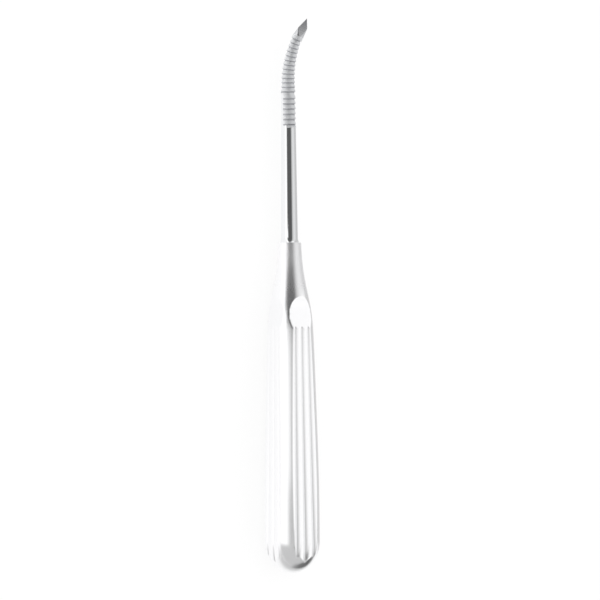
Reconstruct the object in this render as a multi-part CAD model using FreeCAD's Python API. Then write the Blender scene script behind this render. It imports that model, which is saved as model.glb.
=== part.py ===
import FreeCAD, Part
import math
import os

# Antrum rasp, millimetres.
# A curved, toothed rasp with a three-sided point, on a tapering round shaft,
# which is held by its tang in a round steel handle with four reeded faces.
# While it is made, the tool lies along Y with its butt at Y = 0 and its point towards +Y.
# At the end it is laid down on the reeds of its lower face, with +Z up.

# Handle
handle_length = 121.0
handle_diameter = 20.1
mouth_diameter = 8.6
mouth_chamfer = 0.35
butt_dome_length = 11.9
butt_crown_radius = 9.0

# Outline of the handle's neck and body: distance from the butt, and radius there
throat_station, throat_radius = 113.5, 4.70
slope_station, slope_radius = 106.0, 5.80
brow_station, brow_radius = 99.5, 7.13
shoulder_station, shoulder_radius = 94.0, 8.00
body_top_station, body_top_radius = 87.5, 8.44
waist_station, waist_radius = 68.0, 9.10
belly_station, belly_radius = 44.0, 9.76
heel_station = 22.0

# Faces: each is a bed of convex reeds that spread towards the butt and bend in with the dome
face_count = 4
reed_radius = 3.3
reed_places = (-1.0, -1.0 / 3.0, 1.0 / 3.0, 1.0)
bed_top_station = 95.0
bed_bend_station = 12.0
reed_level_at_top = 7.44
reed_level_at_bend = 8.81
face_half_width_at_top = 4.10
face_half_width_at_bend = 5.53
bed_bend_radius = 37.0
bed_depth = 0.8

# Thumb hollow at the upper end of each face
hollow_station = 97.0
hollow_level = 6.22
hollow_radius_to_neck = 12.7
hollow_radius_to_butt = 29.4
hollow_run_to_neck = 6.5
hollow_run_to_butt = 12.0

# Shaft, its collar on the mouth of the handle, and its tang inside the handle
shaft_root_diameter = 6.25
shaft_end_diameter = 5.5
shaft_length = 43.3
collar_diameter = 7.6
collar_fillet_radius = 2.4
tang_diameter = 4.6
tang_length = 34.0
tang_chamfer = 0.6
braze_gap = 0.05
socket_end_gap = 0.5

# Coarse teeth next to the shaft, cut on one side so that the back stays smooth
coarse_teeth = 6
coarse_pitch = 1.9
coarse_depth = 0.5
coarse_end_diameter = 5.4
smooth_back_half_angle = 56.0
crest_flat = 0.03
zone_gap = 0.6

# Fine teeth, cut all round
fine_teeth = 12
fine_pitch = 1.63
fine_depth = 0.45
fine_middle_diameter = 4.75
fine_end_diameter = 4.0
tooth_overlap = 0.3

# Bend of the rasp, towards the corner between the top face and the +X face
straight_rasp_length = 15.6
bend_radius = 38.5
bend_side_degrees = 45.0

# Three-sided point, ground on the smooth end of the bent rasp
end_shank_length = 1.2
point_length = 7.5
point_facets = 3
point_lean = 0.3
first_facet_turn_degrees = -14.5

# Working values
TOOL_AXIS = FreeCAD.Vector(0, 1, 0)
BUTT = FreeCAD.Vector(0, 0, 0)
full_turn = 360.0
cutter_reach = handle_diameter
rasp_start = handle_length + shaft_length
fine_start = rasp_start + coarse_teeth * coarse_pitch + zone_gap
bend_start = rasp_start + straight_rasp_length


def vec(x, y, z=0.0):
    return FreeCAD.Vector(x, y, z)


def line(start, end):
    return Part.LineSegment(start, end).toShape()


def arc(start, middle, end):
    return Part.Arc(start, middle, end).toShape()


def turned(edges):
    """Solid turned about the tool axis from a closed outline drawn in the XY plane."""
    return Part.Face(Part.Wire(edges)).revolve(BUTT, TOOL_AXIS, full_turn)


def around_axis(shape, index, count):
    copy = shape.copy()
    copy.rotate(BUTT, TOOL_AXIS, index * full_turn / count)
    return copy


# Handle


def handle_blank():
    """The smooth round handle: neck, shoulder, long taper and domed butt."""
    heel_radius = handle_diameter / 2
    mouth_radius = mouth_diameter / 2
    centre_top = vec(0, handle_length)
    rim_inner = vec(mouth_radius - mouth_chamfer, handle_length)
    rim_outer = vec(mouth_radius, handle_length - mouth_chamfer)
    side = Part.BSplineCurve()
    side.interpolate(
        Points=[
            rim_outer,
            vec(throat_radius, throat_station),
            vec(slope_radius, slope_station),
            vec(brow_radius, brow_station),
            vec(shoulder_radius, shoulder_station),
            vec(body_top_radius, body_top_station),
            vec(waist_radius, waist_station),
            vec(belly_radius, belly_station),
            vec(heel_radius, heel_station),
        ]
    )
    edges = [line(centre_top, rim_inner), line(rim_inner, rim_outer), side.toShape()]
    edges.append(line(vec(heel_radius, heel_station), vec(heel_radius, butt_dome_length)))
    return turned(edges + butt_dome(heel_radius) + [line(BUTT, centre_top)])


def butt_dome(heel_radius):
    """Two arcs that share a tangent: the flank of the dome, and its round crown on the axis."""
    rise = butt_dome_length - butt_crown_radius
    spare = heel_radius - butt_crown_radius
    flank_radius = (heel_radius**2 + rise**2 - butt_crown_radius**2) / (2 * spare)
    flank_centre = vec(heel_radius - flank_radius, butt_dome_length)
    crown_centre = vec(0, butt_crown_radius)
    to_joint = (crown_centre - flank_centre).normalize()
    joint = crown_centre + to_joint * butt_crown_radius
    dome_top = vec(heel_radius, butt_dome_length)
    half_way = (to_joint + vec(1, 0)).normalize()
    flank_middle = flank_centre + half_way * flank_radius
    half_way = (to_joint + vec(0, -1)).normalize()
    crown_middle = crown_centre + half_way * butt_crown_radius
    return [arc(dome_top, flank_middle, joint), arc(joint, crown_middle, BUTT)]


def bed_route(sideways, below_reeds):
    """Line along the top face, then an arc that bends inwards at the butt.

    sideways goes from -1 to 1 across the face, and below_reeds is the depth under
    the crests of the reeds.
    """
    top = vec(sideways * face_half_width_at_top, bed_top_station, reed_level_at_top)
    bend = vec(sideways * face_half_width_at_bend, bed_bend_station, reed_level_at_bend)
    along = (bend - top).normalize()
    inward = vec(0, 0, -1) - along * (-along.z)
    inward.normalize()
    top = top + inward * below_reeds
    bend = bend + inward * below_reeds
    radius = bed_bend_radius - below_reeds
    turn = math.asin(min(1.0, (bed_bend_station + reed_radius) / bed_bend_radius))

    def on_bend(angle):
        ahead = along * (radius * math.sin(angle))
        inside = inward * (radius * (1 - math.cos(angle)))
        return bend + ahead + inside

    return top, bend, on_bend(turn / 2), on_bend(turn)


def reed_rod(sideways):
    """Round rod whose upper side is one reed."""
    top, bend, bend_middle, end = bed_route(sideways, reed_radius)
    path = Part.Wire([line(top, bend), arc(bend, bend_middle, end)])
    section = Part.Wire([Part.makeCircle(reed_radius, top, bend - top)])
    return path.makePipeShell([section], True, False)


def face_cutter():
    """What is cut away above the bed of the top face, with the reeds left standing."""
    top, bend, bend_middle, end = bed_route(0.0, bed_depth)
    roof_end = vec(0, end.y, cutter_reach)
    roof_top = vec(0, top.y, cutter_reach)
    outline = [
        line(top, bend),
        arc(bend, bend_middle, end),
        line(end, roof_end),
        line(roof_end, roof_top),
        line(roof_top, top),
    ]
    slab = Part.Face(Part.Wire(outline)).extrude(vec(2 * cutter_reach, 0))
    slab.translate(vec(-cutter_reach, 0))
    return slab.cut([reed_rod(place) for place in reed_places])


def thumb_hollow_cutter():
    """Concave cut across the upper end of the top face: two arcs that share a tangent."""

    def floor(run, radius):
        rise = radius - math.sqrt(radius * radius - run * run)
        return vec(0, hollow_station + run, hollow_level + rise)

    neck_end = floor(hollow_run_to_neck, hollow_radius_to_neck)
    neck_middle = floor(hollow_run_to_neck / 2, hollow_radius_to_neck)
    lowest = vec(0, hollow_station, hollow_level)
    butt_middle = floor(-hollow_run_to_butt / 2, hollow_radius_to_butt)
    butt_end = floor(-hollow_run_to_butt, hollow_radius_to_butt)
    roof_butt = vec(0, butt_end.y, cutter_reach)
    roof_neck = vec(0, neck_end.y, cutter_reach)
    outline = [
        arc(neck_end, neck_middle, lowest),
        arc(lowest, butt_middle, butt_end),
        line(butt_end, roof_butt),
        line(roof_butt, roof_neck),
        line(roof_neck, neck_end),
    ]
    block = Part.Face(Part.Wire(outline)).extrude(vec(2 * cutter_reach, 0))
    block.translate(vec(-cutter_reach, 0))
    return block


def tang_socket():
    """Blind round hole for the tang, drilled from past the mouth."""
    depth = tang_length + socket_end_gap
    bottom = vec(0, handle_length - depth)
    radius = tang_diameter / 2 + braze_gap
    return Part.makeCylinder(radius, depth + tang_diameter, bottom, TOOL_AXIS)


def make_handle():
    cutters = [tang_socket()]
    reeds = face_cutter()
    hollow = thumb_hollow_cutter()
    for index in range(face_count):
        cutters.append(around_axis(reeds, index, face_count))
        cutters.append(around_axis(hollow, index, face_count))
    return handle_blank().cut(cutters)


# Rasp and shaft


def bend_side():
    """Direction square to the tool axis towards which the rasp bends."""
    angle = math.radians(bend_side_degrees)
    return vec(math.sin(angle), 0, math.cos(angle))


def on_centreline(distance):
    """Point and direction of the rasp's centreline at a distance from the butt."""
    if distance <= bend_start:
        return vec(0, distance), TOOL_AXIS
    side = bend_side()
    angle = (distance - bend_start) / bend_radius
    point = vec(0, bend_start) + side * (bend_radius * (1 - math.cos(angle)))
    point = point + TOOL_AXIS * (bend_radius * math.sin(angle))
    return point, TOOL_AXIS * math.cos(angle) + side * math.sin(angle)


def between(first, last, share):
    return first + (last - first) * share


def coarse_radius(distance):
    share = (distance - rasp_start) / (fine_start - rasp_start)
    return between(shaft_end_diameter, coarse_end_diameter, share) / 2


def circle(radius, centre):
    return Part.Wire([Part.makeCircle(radius, centre, TOOL_AXIS)])


def shaft_and_tang():
    """Turned blank: tang, collar with its fillet, tapering shaft and the straight rasp."""
    tang_radius = tang_diameter / 2
    tang_end = handle_length - tang_length
    collar = vec(collar_diameter / 2, handle_length)
    width = (collar_diameter - shaft_root_diameter) / 2
    # The fillet is tangent to the shaft and meets the collar's rim at an angle.
    sweep = math.acos(1 - width / collar_fillet_radius)
    fillet_top = vec(
        shaft_root_diameter / 2, handle_length + collar_fillet_radius * math.sin(sweep)
    )
    fillet_centre = fillet_top + vec(collar_fillet_radius, 0)
    fillet_middle = fillet_centre - vec(math.cos(sweep / 2), math.sin(sweep / 2)) * collar_fillet_radius
    coarse_end = vec(coarse_end_diameter / 2, fine_start)
    outline = [
        vec(0, tang_end),
        vec(tang_radius - tang_chamfer, tang_end),
        vec(tang_radius, tang_end + tang_chamfer),
        vec(tang_radius, handle_length),
        collar,
    ]
    edges = [line(a, b) for a, b in zip(outline, outline[1:])]
    edges.append(arc(collar, fillet_middle, fillet_top))
    outline = [
        fillet_top,
        vec(shaft_end_diameter / 2, rasp_start),
        coarse_end,
        vec(0, fine_start),
        vec(0, tang_end),
    ]
    return turned(edges + [line(a, b) for a, b in zip(outline, outline[1:])])


def coarse_groove_cutters():
    """Rings that leave the coarse teeth: each flank flares towards the shaft.

    The cone inside each ring leans towards the smooth back, so the grooves run out there.
    """
    lean = 1 / (1 + math.cos(math.radians(smooth_back_half_angle)))
    shift = coarse_depth * lean
    shrink = coarse_depth - shift
    crest_shift = 2 * crest_flat
    ring_reach = shaft_root_diameter
    rings = []
    for index in range(coarse_teeth):
        near = rasp_start + index * coarse_pitch
        far = near + coarse_pitch
        if index == coarse_teeth - 1:
            far = far + zone_gap
        crest = coarse_radius(near) - crest_flat
        root = coarse_radius(far) - shrink
        crest_circle = circle(crest, vec(0, near) - bend_side() * crest_shift)
        root_circle = circle(root, vec(0, far) - bend_side() * shift)
        tooth = Part.makeLoft([crest_circle, root_circle], True, True)
        slice_of_rasp = Part.makeCylinder(ring_reach, far - near, vec(0, near), TOOL_AXIS)
        rings.append(slice_of_rasp.cut(tooth))
    return rings


def fine_zone():
    """Fine teeth: a cone for each, its wide end towards the shaft, along the bent centreline."""
    middle = fine_teeth // 2
    teeth = []
    for index in range(fine_teeth):
        near = fine_start + index * fine_pitch
        if index <= middle:
            crest = between(coarse_end_diameter, fine_middle_diameter, index / middle) / 2
        else:
            share = (index - middle) / (fine_teeth - 1 - middle)
            crest = between(fine_middle_diameter, fine_end_diameter, share) / 2
        base, _ = on_centreline(near)
        _, direction = on_centreline(near + fine_pitch / 2)
        teeth.append(
            Part.makeCone(crest, crest - fine_depth, fine_pitch + tooth_overlap, base, direction)
        )
    return teeth


def pointed_end():
    """Smooth round end of the rasp, with three facets ground to a point."""
    radius = fine_end_diameter / 2
    teeth_end = fine_start + fine_teeth * fine_pitch
    base, direction = on_centreline(teeth_end)
    foot, direction_at_foot = on_centreline(teeth_end + end_shank_length)
    section = Part.Face(Part.Wire([Part.makeCircle(radius, base, direction)]))
    bend_centre = vec(0, bend_start) + bend_side() * bend_radius
    bend_axis = TOOL_AXIS.cross(bend_side())
    shank = section.revolve(bend_centre, bend_axis, math.degrees(end_shank_length / bend_radius))
    rod = Part.makeCylinder(radius, point_length, foot, direction_at_foot)
    return shank.fuse(rod).cut(facet_cutters(foot, direction_at_foot))


def facet_cutters(foot, direction):
    """Blocks that grind the facets. Their planes meet at the apex, which leans to the bend's side."""
    radius = fine_end_diameter / 2
    up = vec(0, 0, 1) - direction * direction.z
    up.normalize()
    lean = bend_side() - direction * direction.dot(bend_side())
    lean.normalize()
    apex = foot + direction * point_length + lean * point_lean
    slope = math.atan2(radius, point_length)
    reach = 2 * point_length
    past_apex = radius
    cutters = []
    for index in range(point_facets):
        turn = first_facet_turn_degrees + index * full_turn / point_facets
        outward = FreeCAD.Rotation(direction, turn).multVec(up)
        normal = outward * math.cos(slope) + direction * math.sin(slope)
        down = outward * math.sin(slope) - direction * math.cos(slope)
        across = normal.cross(down) * reach
        above = apex - down * past_apex
        below = apex + down * reach
        corners = [above - across, above + across, below + across, below - across]
        facet = Part.Face(Part.makePolygon(corners + corners[:1]))
        cutters.append(facet.extrude(normal * reach))
    return cutters


def make_rasp_shaft():
    turned_part = shaft_and_tang().cut(coarse_groove_cutters())
    return turned_part.fuse(fine_zone() + [pointed_end()])


# Laying the tool down


def lay_down(shapes):
    """Rests the tool on the reed crests of its lower face, centred over the origin."""
    drop = reed_level_at_bend - reed_level_at_top
    slope = math.atan2(drop, bed_top_station - bed_bend_station)
    level = reed_level_at_bend + math.tan(slope) * bed_bend_station
    laid = []
    for shape in shapes:
        copy = shape.copy()
        copy.translate(vec(0, 0, level))
        copy.rotate(BUTT, vec(1, 0), -math.degrees(slope))
        laid.append(copy)
    butt_end = min(shape.BoundBox.YMin for shape in laid)
    point_end = max(shape.BoundBox.YMax for shape in laid)
    for shape in laid:
        shape.translate(vec(0, -(butt_end + point_end) / 2))
    return laid


os.makedirs("parts", exist_ok=True)
names = ("rasp_shaft", "handle")
for name, shape in zip(names, lay_down([make_rasp_shaft(), make_handle()])):
    print(name, "valid:", shape.isValid(), "solids:", len(shape.Solids))
    shape.exportStep("parts/" + name + ".step")
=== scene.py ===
"""Studio scene of an antrum rasp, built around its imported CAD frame.

A straight tool frame in millimetres is used while the meshes are made: the axis is +Y and the
handle's butt is at 0. The rasp is then bent, and the whole tool is laid where the CAD frame has it.
"""

import logging
import math
from dataclasses import dataclass
from enum import Enum
from typing import Any, Callable

import bmesh
import bpy
import numpy as np
from bpy.types import Material, Mesh, Node, NodeSocket, NodeTree, Object
from mathutils import Matrix, Vector

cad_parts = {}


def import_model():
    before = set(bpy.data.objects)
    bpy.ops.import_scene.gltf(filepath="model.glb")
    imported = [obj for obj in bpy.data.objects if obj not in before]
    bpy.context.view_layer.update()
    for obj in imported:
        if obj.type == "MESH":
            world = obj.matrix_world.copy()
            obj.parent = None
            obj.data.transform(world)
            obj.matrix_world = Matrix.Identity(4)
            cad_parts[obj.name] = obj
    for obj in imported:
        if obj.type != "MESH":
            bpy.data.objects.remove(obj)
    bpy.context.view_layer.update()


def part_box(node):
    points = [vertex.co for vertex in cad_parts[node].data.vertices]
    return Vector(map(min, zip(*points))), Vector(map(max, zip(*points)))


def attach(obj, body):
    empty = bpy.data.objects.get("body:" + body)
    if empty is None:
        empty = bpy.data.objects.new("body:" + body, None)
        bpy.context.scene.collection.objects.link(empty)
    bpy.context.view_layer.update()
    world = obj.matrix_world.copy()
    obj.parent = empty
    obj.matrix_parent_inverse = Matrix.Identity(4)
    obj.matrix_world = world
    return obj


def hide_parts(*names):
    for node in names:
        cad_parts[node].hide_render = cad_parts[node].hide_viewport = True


LOG = logging.getLogger("antrum_rasp")
METRES_PER_MM = 0.001
WELD_DISTANCE_MM = 0.0008
SHARP_ANGLE = math.radians(26.0)
# Rounds of the two searches on the handle's surface, which end well below a micrometre.
REED_ROUNDS = 14
EDGE_HALVINGS = 24
# Most values of a pattern lie between these two.
PATTERN_LOW, PATTERN_HIGH = 0.25, 0.75
WHITE = (1.0, 1.0, 1.0, 1.0)
ALONG = Vector((0, 1, 0))
UP = Vector((0, 0, 1))
Ring = list[Vector]
Profile = tuple[tuple[float, float], ...]
Stretch = tuple[float, float, float]


class Finish(Enum):
    """The finishes of the tool's steel, and a painted shade for the bottoms of the grooves."""

    POLISHED = "turned_and_mirror_polished_steel"
    BLASTED = "cut_and_bead_blasted_steel"
    # Not a finish of the steel: blasted steel painted darker as shade in the grooves.
    GULLET = "dark_steel_in_the_tooth_gullets"
    GROUND = "wheel_ground_steel"
    SATIN = "satin_polished_steel"


# Small helpers


def linear_colour(hex_colour: str) -> tuple[float, float, float, float]:
    """Turns an sRGB colour such as "#C8C9CB" into linear values.

    Args:
        hex_colour: The colour, with its leading hash.

    Returns:
        Red, green, blue and alpha, linear.
    """
    digits = hex_colour.lstrip("#")
    channels = [int(digits[i : i + 2], 16) / 255 for i in (0, 2, 4)]
    # The numbers are those of the sRGB standard.
    linear = [c / 12.92 if c <= 0.04045 else ((c + 0.055) / 1.055) ** 2.4 for c in channels]
    return linear[0], linear[1], linear[2], 1.0


def per_metre(size_mm: float) -> float:
    """Scale of a pattern on Object coordinates whose features are size_mm apart."""
    return 1.0 / (size_mm * METRES_PER_MM)


def add_node(
    tree: NodeTree, kind: str, feeds: dict[str | int, Any] | None = None, **settings: Any
) -> Node:
    """Adds a node to a tree, sets it up and links it.

    Args:
        tree: The tree of a material, a world or a geometry modifier.
        kind: The node's type, such as "ShaderNodeMath".
        feeds: For each socket, by name or number, its value or the socket that feeds it.
        settings: The node's own options.

    Returns:
        The new node.
    """
    node = tree.nodes.new(kind)
    for name, value in settings.items():
        setattr(node, name, value)
    for key, value in (feeds or {}).items():
        if isinstance(value, NodeSocket):
            tree.links.new(value, node.inputs[key])
        else:
            node.inputs[key].default_value = value
    return node


def soft_min(first: float, second: float, blend: float) -> float:
    """The smaller of two radii, with their meeting line rounded over the length blend."""
    overlap = max(blend - abs(first - second), 0.0) / blend
    return min(first, second) - overlap * overlap * blend / 4


def between(first: float, last: float, share: float) -> float:
    """The value at a share of the way from the first to the last."""
    return first + (last - first) * share


def steps(first: float, last: float, longest: float) -> list[float]:
    """Even stations after first, up to last, no further apart than longest."""
    count = max(1, math.ceil(abs(last - first) / longest))
    return [between(first, last, i / count) for i in range(1, count + 1)]


class SmoothOutline:
    """A radius along the tool's axis, as a curve through stations with no break in curvature."""

    def __init__(self, points: Profile) -> None:
        """Fits the curve. It ends flat at its last point.

        Args:
            points: Stations and radii, from the mouth to the heel, in falling order of station.
        """
        ordered = sorted(points)
        self.at = [p[0] for p in ordered]
        self.radii = [p[1] for p in ordered]
        count = len(ordered)
        matrix = np.zeros((count, count))
        wanted = np.zeros(count)
        gaps = np.diff(self.at)
        rises = np.diff(self.radii)
        matrix[0, 0] = 1.0
        for i in range(1, count - 1):
            matrix[i, i - 1] = 1 / gaps[i - 1]
            matrix[i, i] = 2 / gaps[i - 1] + 2 / gaps[i]
            matrix[i, i + 1] = 1 / gaps[i]
            wanted[i] = 3 * (rises[i - 1] / gaps[i - 1] ** 2 + rises[i] / gaps[i] ** 2)
        matrix[-1, -2:] = 1.0, 2.0
        wanted[-1] = 3 * rises[-1] / gaps[-1]
        self.slopes = np.linalg.solve(matrix, wanted)

    def radius(self, station: float) -> float:
        """Reads the curve.

        Args:
            station: A station between the first and the last.

        Returns:
            The radius there.
        """
        i = int(np.clip(np.searchsorted(self.at, station) - 1, 0, len(self.at) - 2))
        gap = self.at[i + 1] - self.at[i]
        t = (station - self.at[i]) / gap
        low, high = self.radii[i], self.radii[i + 1]
        blend = t * t * (3 - 2 * t)
        bow = gap * t * (1 - t) * (self.slopes[i] * (1 - t) - self.slopes[i + 1] * t)
        return float(low + (high - low) * blend + bow)


@dataclass(frozen=True)
class Lie:
    """How the finished tool lies on the reeds of its lower face."""

    slope: float
    level: float
    shift: float

    @classmethod
    def of_frame(cls, handle: "Handle") -> "Lie":
        """Finds the lie from the handle's sizes and its place in the CAD frame.

        Args:
            handle: The handle.

        Returns:
            The lie.
        """
        drop = handle.level_at_bend - handle.level_at_top
        slope = math.atan2(drop, handle.bed_top - handle.bed_bend)
        level = handle.level_at_bend + math.tan(slope) * handle.bed_bend
        crown = handle.crown_radius
        butt = crown * math.cos(slope) + level * math.sin(slope) - crown
        lowest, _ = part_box("handle")
        return cls(slope, level, lowest.y / METRES_PER_MM - butt)

    def metres(self, point: Vector) -> Vector:
        """Moves a point from the straight tool frame to the row frame.

        Args:
            point: The point, in millimetres.

        Returns:
            Its place, in metres.
        """
        raised = point + Vector((0, 0, self.level))
        turned = Matrix.Rotation(-self.slope, 3, "X") @ raised
        return (turned + Vector((0, self.shift, 0))) * METRES_PER_MM


# Meshes from rings


def close_ring_strip(mesh: bmesh.types.BMesh, rings: list[Ring], around: bool) -> None:
    """Joins rings of points with faces.

    Args:
        mesh: Receives the faces.
        rings: Rings in order along the axis. A ring of one point is a pole.
        around: Whether each ring closes on itself.
    """
    rows = [[mesh.verts.new(point) for point in ring] for ring in rings]
    for low, high in zip(rows, rows[1:]):
        count = max(len(low), len(high))
        for i in range(count if around else count - 1):
            j = (i + 1) % count
            if len(low) == 1:
                corners = [low[0], high[i], high[j]]
            elif len(high) == 1:
                corners = [low[i], low[j], high[0]]
            else:
                corners = [low[i], low[j], high[j], high[i]]
            mesh.faces.new(corners)


def to_mesh(name: str, rings: list[Ring], around: bool = True) -> Mesh:
    """Makes a mesh of joined rings.

    Args:
        name: Its name.
        rings: Rings in order along the axis.
        around: Whether each ring closes on itself.

    Returns:
        The mesh, still in the straight tool frame.
    """
    work = bmesh.new()
    close_ring_strip(work, rings, around)
    mesh = bpy.data.meshes.new(name)
    work.to_mesh(mesh)
    work.free()
    return mesh


def finish_mesh(
    work: bmesh.types.BMesh, name: str, place: Callable[[Vector], Vector]
) -> Mesh:
    """Welds a mesh, puts it in its place and shades it smooth between its sharp edges.

    Args:
        work: The mesh in the straight tool frame. It is freed.
        name: Name of the new mesh.
        place: Takes a point of the straight tool frame to the row frame.

    Returns:
        The finished mesh, in metres.
    """
    bmesh.ops.remove_doubles(work, verts=work.verts, dist=WELD_DISTANCE_MM)
    bmesh.ops.dissolve_degenerate(work, edges=work.edges, dist=WELD_DISTANCE_MM)
    bmesh.ops.recalc_face_normals(work, faces=work.faces)
    for vertex in work.verts:
        vertex.co = place(vertex.co)
    for face in work.faces:
        face.smooth = True
    for edge in work.edges:
        edge.smooth = edge.calc_face_angle(math.pi) < SHARP_ANGLE
    mesh = bpy.data.meshes.new(name)
    work.to_mesh(mesh)
    work.free()
    return mesh


def add_object(name: str, mesh: Mesh) -> Object:
    """Links a new object to the scene.

    Args:
        name: Its name.
        mesh: Its mesh.

    Returns:
        The object, at the origin.
    """
    obj = bpy.data.objects.new(name, mesh)
    bpy.context.scene.collection.objects.link(obj)
    return obj


# Geometry nodes for what repeats


class Repeat(Enum):
    """How copies of a mesh follow each other."""

    ALONG_AXIS = "teeth_in_a_row"
    AROUND_AXIS = "faces_round_the_axis"


class Repeater:
    """A node tree that repeats a mesh, along the tool's axis or around it."""

    def __init__(self, how: Repeat) -> None:
        """Builds the tree with its named inputs.

        Args:
            how: Along the axis or around it.
        """
        self.how = how
        self.tree = bpy.data.node_groups.new(how.value, "GeometryNodeTree")
        self.sockets: dict[str, str] = {}
        self._add_input("Mesh", "NodeSocketGeometry")
        self._add_input("Count", "NodeSocketInt")
        self._add_input("Pitch", "NodeSocketFloat")
        self._add_input("Steel", "NodeSocketMaterial")
        self.tree.interface.new_socket("Mesh", in_out="OUTPUT", socket_type="NodeSocketGeometry")
        self._build()

    def _add_input(self, name: str, kind: str) -> None:
        """Adds a named input and remembers its identifier."""
        socket = self.tree.interface.new_socket(name, in_out="INPUT", socket_type=kind)
        self.sockets[name] = socket.identifier

    def _build(self) -> None:
        """Places one copy on each point of a row, offset or turned by the pitch."""
        tree = self.tree
        given = add_node(tree, "NodeGroupInput").outputs
        pitch = given["Pitch"]
        along = self.how is Repeat.ALONG_AXIS
        offset = add_node(tree, "ShaderNodeCombineXYZ", {"Y": pitch if along else 0.0})
        row = {"Count": given["Count"], "Offset": offset.outputs[0]}
        points = add_node(tree, "GeometryNodeMeshLine", row, mode="OFFSET")
        index = add_node(tree, "GeometryNodeInputIndex")
        factors = {0: index.outputs[0], 1: 0.0 if along else pitch}
        angle = add_node(tree, "ShaderNodeMath", factors, operation="MULTIPLY")
        turn = add_node(tree, "ShaderNodeCombineXYZ", {"Y": angle.outputs[0]})
        copy = {"Instance": given["Mesh"], "Rotation": turn.outputs[0]}
        copies = add_node(
            tree, "GeometryNodeInstanceOnPoints", {"Points": points.outputs[0], **copy}
        )
        real = add_node(tree, "GeometryNodeRealizeInstances", {"Geometry": copies.outputs[0]})
        steel = {"Geometry": real.outputs[0], "Material": given["Steel"]}
        dressed = add_node(tree, "GeometryNodeSetMaterial", steel)
        add_node(tree, "NodeGroupOutput", {"Mesh": dressed.outputs[0]})

    def repeat(self, mesh: Mesh, count: int, pitch: float, steel: Material) -> Mesh:
        """Repeats a mesh.

        Args:
            mesh: One piece of what repeats.
            count: How many pieces there are.
            pitch: Millimetres from one to the next, or the angle between them.
            steel: The material of the result.

        Returns:
            A plain mesh of all the pieces.
        """
        host = add_object(self.how.value, mesh)
        modifier = host.modifiers.new(self.how.value, "NODES")
        modifier.node_group = self.tree
        for name, value in {"Count": count, "Pitch": pitch, "Steel": steel}.items():
            modifier[self.sockets[name]] = value
        graph = bpy.context.evaluated_depsgraph_get()
        result = bpy.data.meshes.new_from_object(host.evaluated_get(graph))
        host.modifiers.clear()
        bpy.data.objects.remove(host)
        return result


# Finishes


@dataclass(frozen=True)
class PolishedSteel:
    """Stainless steel, turned and mirror polished: sharp reflections, very faint turning marks."""

    colour: str = "#F4F5F6"
    roughness: float = 0.1
    roughness_spread: float = 0.03
    turning_mark_mm: float = 0.18
    turning_mark_depth_mm: float = 0.0004
    round_the_shaft: Stretch = (0.04, 1.0, 0.04)
    haze_patch_mm: float = 5.0

    def material(self) -> Material:
        """Builds the material.

        Returns:
            The new material.
        """
        material, tree, shader, place = steel_base(Finish.POLISHED, self.colour)
        patches = {"Vector": place, "Scale": per_metre(self.haze_patch_mm), "Detail": 3.0}
        haze = add_node(tree, "ShaderNodeTexNoise", patches).outputs[0]
        spread_roughness(tree, shader, haze, self.roughness, self.roughness_spread)
        # Turning leaves rings across the axis, so the pattern is stretched round the shaft. They
        # are drawn coarser than real ones, which would not show.
        rings = drawn_out_noise(tree, place, self.round_the_shaft, self.turning_mark_mm, 2.0)
        bump_from(tree, shader, rings, self.turning_mark_depth_mm)
        return material


@dataclass(frozen=True)
class BlastedSteel:
    """Hardened steel whose teeth were cut and bead blasted: matt and grey, with fine dimples.

    The dimples are drawn coarser than those of real beads, which would not show.
    """

    finish: Finish = Finish.BLASTED
    colour: str = "#F8F9FA"
    # Painted shade: the dimples' dips are a little darker.
    painted_shade_in_dips_colour: str = "#E8E9EB"
    roughness: float = 0.7
    roughness_spread: float = 0.08
    dimple_mm: float = 0.16
    dimple_depth_mm: float = 0.006

    def material(self) -> Material:
        """Builds the material.

        Returns:
            The new material.
        """
        material, tree, shader, place = steel_base(self.finish, self.colour)
        cells = {"Vector": place, "Scale": per_metre(self.dimple_mm)}
        voronoi = add_node(tree, "ShaderNodeTexVoronoi", cells, feature="SMOOTH_F1")
        dimples = voronoi.outputs["Distance"]
        # Painted shade: the colour darkens in the dimples' dips, following the bump.
        mix_colours(tree, shader, dimples, self.painted_shade_in_dips_colour, self.colour)
        spread_roughness(tree, shader, dimples, self.roughness, self.roughness_spread)
        bump_from(tree, shader, dimples, self.dimple_depth_mm)
        return material


@dataclass(frozen=True)
class GroundSteel:
    """Steel ground flat on a wheel: streaked reflections along the scratches."""

    colour: str = "#E4E5E7"
    # Darker colour painted at the apex as shade.
    apex_painted_shade_colour: str = "#B4B5B8"
    # Places along the tool, in metres, between which the colour changes to the painted shade.
    foot_place: float = 0.0945
    apex_place: float = 0.1
    roughness: float = 0.27
    roughness_spread: float = 0.12
    scratch_mm: float = 0.12
    scratch_depth_mm: float = 0.0015
    across_the_point: Stretch = (0.08, 1.0, 0.08)

    def material(self) -> Material:
        """Builds the material.

        Returns:
            The new material.
        """
        material, tree, shader, place = steel_base(Finish.GROUND, self.colour)
        # Painted shade: the colour darkens towards the thin apex, standing in for the facets'
        # darker reflection there.
        painted_apex_shade = change_along(tree, place, (self.foot_place, self.apex_place))
        mix_colours(tree, shader, painted_apex_shade, self.colour, self.apex_painted_shade_colour)
        # The facets were ground across the point, so the scratches are long across it.
        scratches = drawn_out_noise(tree, place, self.across_the_point, self.scratch_mm, 4.0)
        spread_roughness(tree, shader, scratches, self.roughness, self.roughness_spread)
        bump_from(tree, shader, scratches, self.scratch_depth_mm)
        return material


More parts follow.
